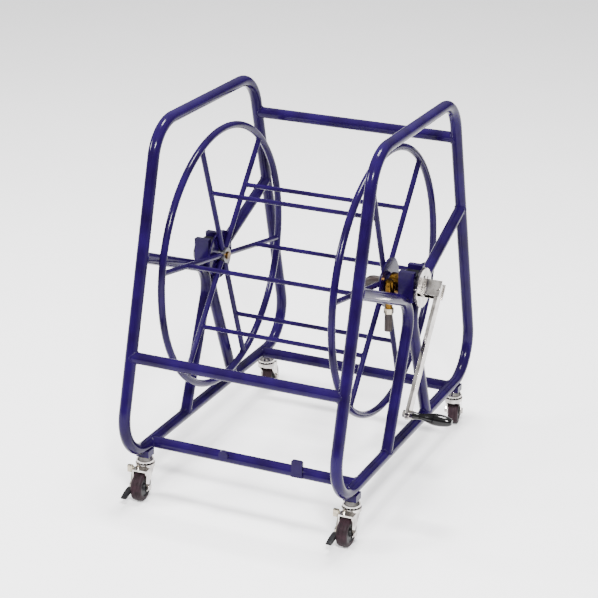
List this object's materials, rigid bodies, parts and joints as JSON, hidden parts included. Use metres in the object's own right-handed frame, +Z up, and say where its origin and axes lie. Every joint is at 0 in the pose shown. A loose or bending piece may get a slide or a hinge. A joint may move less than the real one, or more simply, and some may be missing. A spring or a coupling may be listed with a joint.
{
  "type": "garden hose reel cart",
  "caption": "Swivel-castered steel tube cart with an open rod hose reel, side crank and brass water inlet.",
  "frame": {"origin": "on the floor under the middle of the whole cart's box, crank handle included", "axes": "+Z up, +X towards the crank side along the reel's axle, -Y towards the front bars"},
  "size_m": [0.6684, 0.804, 0.8177],
  "materials": {
    "violet_enamel": "gloss enamel over welded steel tube",
    "black_plastic": "moulded, slight sheen",
    "bearing_steel": "polished balls",
    "axle_steel": "turned steel",
    "brass": "machined brass",
    "zinc_plating": "dull zinc plating",
    "dark_fitting": "dark moulded tail",
    "seal_rubber": "smooth ring",
    "bright_plating": "bright nickel or chrome plating",
    "tyre_rubber": "solid rubber tread",
    "grip_plastic": "glossy moulded handle"
  },
  "bodies": {
    "frame": {"left_side_frame": "violet_enamel", "left_front_support": "violet_enamel", "left_rear_support": "violet_enamel", "left_saddle": "violet_enamel", "left_bearing_block": "black_plastic", "right_side_frame": "violet_enamel", "right_front_support": "violet_enamel", "right_rear_support": "violet_enamel", "right_saddle": "violet_enamel", "right_bearing_block": "black_plastic", "lower_front_crossbar": "violet_enamel", "bottom_front_crossbar": "violet_enamel", "bottom_rear_crossbar": "violet_enamel", "top_rear_crossbar": "violet_enamel", "round_lug": "violet_enamel", "square_lug": "violet_enamel", "caster_clamps": "violet_enamel", "caster_balls": "bearing_steel", "front_left_upper_race": "bright_plating", "front_right_upper_race": "bright_plating", "rear_left_upper_race": "bright_plating", "rear_right_upper_race": "bright_plating"},
    "reel": {"left_ring": "violet_enamel", "right_ring": "violet_enamel", "left_spokes": "violet_enamel", "right_spokes": "violet_enamel", "drum_bars": "violet_enamel", "left_hub_plate": "violet_enamel", "right_hub_plate": "violet_enamel", "left_stub_axle": "axle_steel", "left_axle_plug": "brass", "left_end_collar": "axle_steel", "right_stub_axle": "axle_steel", "outlet_elbow": "dark_fitting", "crank_disc": "bright_plating", "crank_yoke": "bright_plating", "crank_fold_pin": "bright_plating"},
    "inlet": {"inlet_collar": "brass", "inlet_seals": "seal_rubber", "inlet_column": "brass", "inlet_nut": "zinc_plating", "inlet_hose_tail": "dark_fitting"},
    "crank_arm": {"crank_arm": "bright_plating", "grip_spindle": "bright_plating", "spindle_nut": "bright_plating"},
    "grip": {"grip": "grip_plastic"},
    "front_left_fork": {"front_left_fork": "bright_plating", "front_left_wheel_bolt": "bright_plating"},
    "front_left_wheel": {"front_left_wheel": "tyre_rubber"},
    "front_left_brake": {"front_left_brake_pedal": "zinc_plating"},
    "front_right_fork": {"front_right_fork": "bright_plating", "front_right_wheel_bolt": "bright_plating"},
    "front_right_wheel": {"front_right_wheel": "tyre_rubber"},
    "front_right_brake": {"front_right_brake_pedal": "zinc_plating"},
    "rear_left_fork": {"rear_left_fork": "bright_plating", "rear_left_wheel_bolt": "bright_plating"},
    "rear_left_wheel": {"rear_left_wheel": "tyre_rubber"},
    "rear_right_fork": {"rear_right_fork": "bright_plating", "rear_right_wheel_bolt": "bright_plating"},
    "rear_right_wheel": {"rear_right_wheel": "tyre_rubber"}
  },
  "joints": [
    {"name": "reel_turn", "type": "hinge", "parent": "frame", "child": "reel", "pos_m": [-0.06484, 0, 0.456], "axis": [1, 0, 0], "continuous": true},
    {"name": "inlet_swivel", "type": "hinge", "parent": "frame", "child": "inlet", "pos_m": [0.14216, 0, 0.456], "axis": [1, 0, 0], "continuous": true},
    {"name": "crank_fold", "type": "hinge", "parent": "reel", "child": "crank_arm", "pos_m": [0.23816, 0, 0.456], "axis": [0, -0.8059, 0.592], "range_deg": [0, 90]},
    {"name": "grip_spin", "type": "hinge", "parent": "crank_arm", "child": "grip", "pos_m": [0.25016, -0.16103, 0.23679], "axis": [1, 0, 0], "continuous": true},
    {"name": "front_left_swivel", "type": "hinge", "parent": "frame", "child": "front_left_fork", "pos_m": [-0.30484, -0.304, 0.072], "axis": [0, 0, 1], "continuous": true},
    {"name": "front_left_roll", "type": "hinge", "parent": "front_left_fork", "child": "front_left_wheel", "pos_m": [-0.30249, -0.3309, 0.0315], "axis": [0.9962, 0.0872, 0], "continuous": true},
    {"name": "front_left_brake_press", "type": "hinge", "parent": "front_left_fork", "child": "front_left_brake", "pos_m": [-0.30249, -0.3309, 0.0315], "axis": [0.9962, 0.0872, 0], "range_deg": [0, 12]},
    {"name": "front_right_swivel", "type": "hinge", "parent": "frame", "child": "front_right_fork", "pos_m": [0.17516, -0.304, 0.072], "axis": [0, 0, 1], "continuous": true},
    {"name": "front_right_roll", "type": "hinge", "parent": "front_right_fork", "child": "front_right_wheel", "pos_m": [0.17516, -0.331, 0.0315], "axis": [1, 0, 0], "continuous": true},
    {"name": "front_right_brake_press", "type": "hinge", "parent": "front_right_fork", "child": "front_right_brake", "pos_m": [0.17516, -0.331, 0.0315], "axis": [1, 0, 0], "range_deg": [0, 12]},
    {"name": "rear_left_swivel", "type": "hinge", "parent": "frame", "child": "rear_left_fork", "pos_m": [-0.30484, 0.304, 0.072], "axis": [0, 0, 1], "continuous": true},
    {"name": "rear_left_roll", "type": "hinge", "parent": "rear_left_fork", "child": "rear_left_wheel", "pos_m": [-0.3072, 0.3309, 0.0315], "axis": [-0.9962, -0.0872, 0], "continuous": true},
    {"name": "rear_right_swivel", "type": "hinge", "parent": "frame", "child": "rear_right_fork", "pos_m": [0.17516, 0.304, 0.072], "axis": [0, 0, 1], "continuous": true},
    {"name": "rear_right_roll", "type": "hinge", "parent": "rear_right_fork", "child": "rear_right_wheel", "pos_m": [0.16954, 0.33041, 0.0315], "axis": [-0.9781, -0.2079, 0], "continuous": true}
  ]
}
